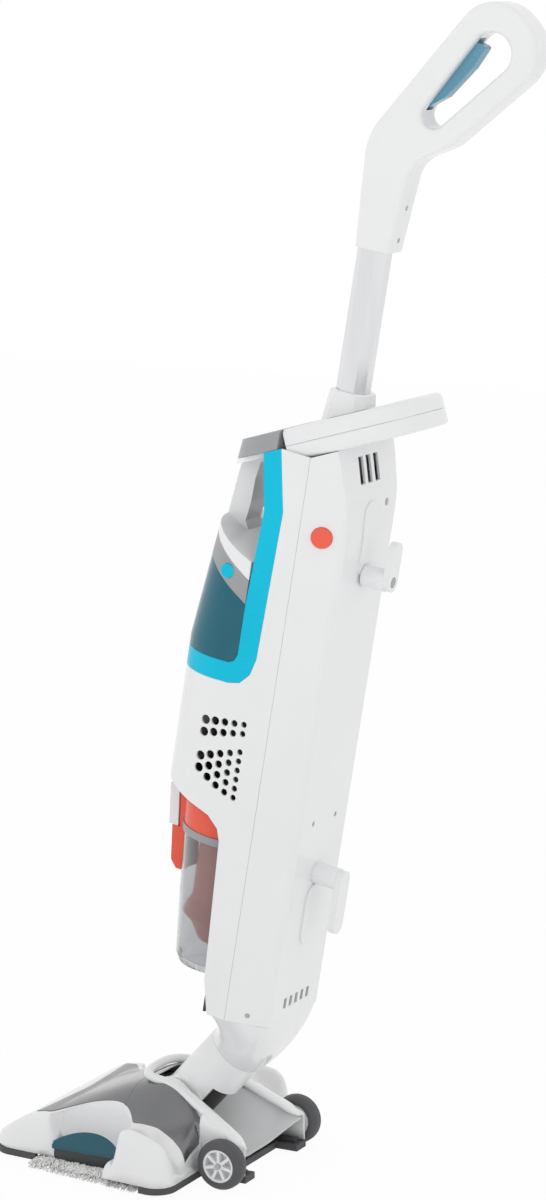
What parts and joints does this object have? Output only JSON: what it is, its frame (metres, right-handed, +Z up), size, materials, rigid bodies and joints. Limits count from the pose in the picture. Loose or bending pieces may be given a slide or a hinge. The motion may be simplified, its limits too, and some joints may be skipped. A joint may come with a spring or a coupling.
{
  "type": "upright vacuum steam mop",
  "caption": "Upright floor cleaner with a loop handle, lift-out water tank, clear cyclone dust cup, swivel neck and wedge floor head on a mop pad with rear wheels.",
  "frame": {"origin": "middle of the mop pad's sole, on the floor", "axes": "+Z up from the floor, -Y the way the machine faces, +X the machine's left side"},
  "size_m": [0.286, 0.5593, 1.1687],
  "materials": {
    "white_shell": "gloss",
    "cyan_trim": "gloss",
    "coral_trim": "gloss",
    "grey_trim": "satin",
    "blue_trigger": "gloss",
    "panel_grey": "metallic",
    "inner_plastic": "matte",
    "black_plastic": "matte",
    "teal_clear": "gloss",
    "smoke_clear": "gloss",
    "tube_metal": "anodised",
    "steel": "plain",
    "motor_metal": "wound copper and laminations",
    "impeller_metal": "plain",
    "board": "matte",
    "filter_cloth": "pleated",
    "soft_rubber": "matte",
    "tyre_rubber": "matte",
    "microfibre": "woolly"
  },
  "bodies": {
    "head": {"head_shell": "white_shell", "head_panel": "panel_grey", "base_plate": "inner_plastic", "head_skirt": "soft_rubber", "mop_pad": "microfibre", "edge_windows": "teal_clear", "steam_plate": "tube_metal", "nozzle_duct": "inner_plastic", "hinge_brackets": "black_plastic", "hinge_pins": "steel", "axle_pins": "steel"},
    "neck": {"neck_arm": "white_shell", "neck_elbow": "black_plastic"},
    "body": {"tank_frame": "cyan_trim", "front_casing": "white_shell", "vent_panels": "white_shell", "rear_cover": "white_shell", "case_screws": "steel", "button_spring": "steel", "hook_screw": "steel", "cord_hook_lower": "white_shell", "deck_upper": "white_shell", "deck_lower": "white_shell", "handle_tube": "tube_metal", "tube_collar": "white_shell", "tube_socket": "inner_plastic", "handle_left": "white_shell", "handle_right": "white_shell", "tank_cradle": "inner_plastic", "boiler": "tube_metal", "water_pump": "inner_plastic", "circuit_board": "board", "motor_seat": "soft_rubber", "motor_housing": "inner_plastic", "motor_core": "motor_metal", "cup_bay": "inner_plastic", "suction_duct": "inner_plastic", "body_foot": "white_shell"},
    "tank": {"water_tank": "teal_clear", "tank_band": "grey_trim", "tank_top": "white_shell", "tank_cap": "grey_trim", "tank_strip": "cyan_trim", "tank_plate": "white_shell"},
    "tank_latch": {"tank_button": "cyan_trim"},
    "cup": {"dust_cup": "smoke_clear", "cup_band": "grey_trim", "cup_lid": "coral_trim", "cyclone": "coral_trim", "cup_filter": "filter_cloth", "cup_grip": "coral_trim"},
    "cup_latch": {"cup_release": "white_shell"},
    "steam_trigger": {"trigger": "blue_trigger"},
    "power_switch": {"power_button": "coral_trim"},
    "quick_hook": {"cord_hook_upper": "white_shell"},
    "fan": {"impeller": "impeller_metal"},
    "wheel_left": {"tyre_left": "tyre_rubber", "hub_left": "white_shell"},
    "wheel_right": {"tyre_right": "tyre_rubber", "hub_right": "white_shell"}
  },
  "joints": [
    {"name": "neck_tilt", "type": "hinge", "parent": "head", "child": "neck", "pos_m": [0, 0.054, 0.059], "axis": [-1, 0, 0], "range_deg": [0, 40]},
    {"name": "neck_swivel", "type": "hinge", "parent": "neck", "child": "body", "pos_m": [0, 0.10753, 0.11845], "axis": [0, 0.6691, 0.7431], "range_deg": [-35, 35]},
    {"name": "wheel_left_spin", "type": "hinge", "parent": "head", "child": "wheel_left", "pos_m": [0.082, 0.134, 0.0255], "axis": [1, 0, 0], "continuous": true},
    {"name": "wheel_right_spin", "type": "hinge", "parent": "head", "child": "wheel_right", "pos_m": [-0.082, 0.134, 0.0255], "axis": [1, 0, 0], "continuous": true},
    {"name": "trigger_pull", "type": "hinge", "parent": "body", "child": "steam_trigger", "pos_m": [0, 0.30555, 1.07158], "axis": [1, 0, 0], "range_deg": [0, 4.5], "stiffness_Nm_per_rad": 4, "springref_deg": -2.86},
    {"name": "power_press", "type": "slide", "parent": "body", "child": "power_switch", "axis": [-0.9345, -0.3511, 0.0588], "range_m": [0, 0.0025], "stiffness_N_per_m": 400, "springref_m": -0.001, "deforming": ["button_spring"]},
    {"name": "hook_turn", "type": "hinge", "parent": "body", "child": "quick_hook", "pos_m": [0, 0.27314, 0.61291], "axis": [0, 0.9863, -0.165], "range_deg": [0, 180]},
    {"name": "tank_pull", "type": "slide", "parent": "body", "child": "tank", "axis": [0, -0.9863, 0.165], "range_m": [0, 0.1]},
    {"name": "tank_latch_press", "type": "slide", "parent": "tank", "child": "tank_latch", "axis": [-1, 0, 0], "range_m": [0, 0.002], "stiffness_N_per_m": 300, "springref_m": -0.001},
    {"name": "cup_pull", "type": "slide", "parent": "body", "child": "cup", "axis": [0, -0.9863, 0.165], "range_m": [0, 0.1]},
    {"name": "cup_latch_press", "type": "slide", "parent": "cup", "child": "cup_latch", "axis": [0, 0.9863, -0.165], "range_m": [0, 0.002], "stiffness_N_per_m": 300, "springref_m": -0.001},
    {"name": "fan_spin", "type": "hinge", "parent": "body", "child": "fan", "pos_m": [0, 0.13855, 0.4509], "axis": [0, 0.165, 0.9863], "continuous": true}
  ]
}
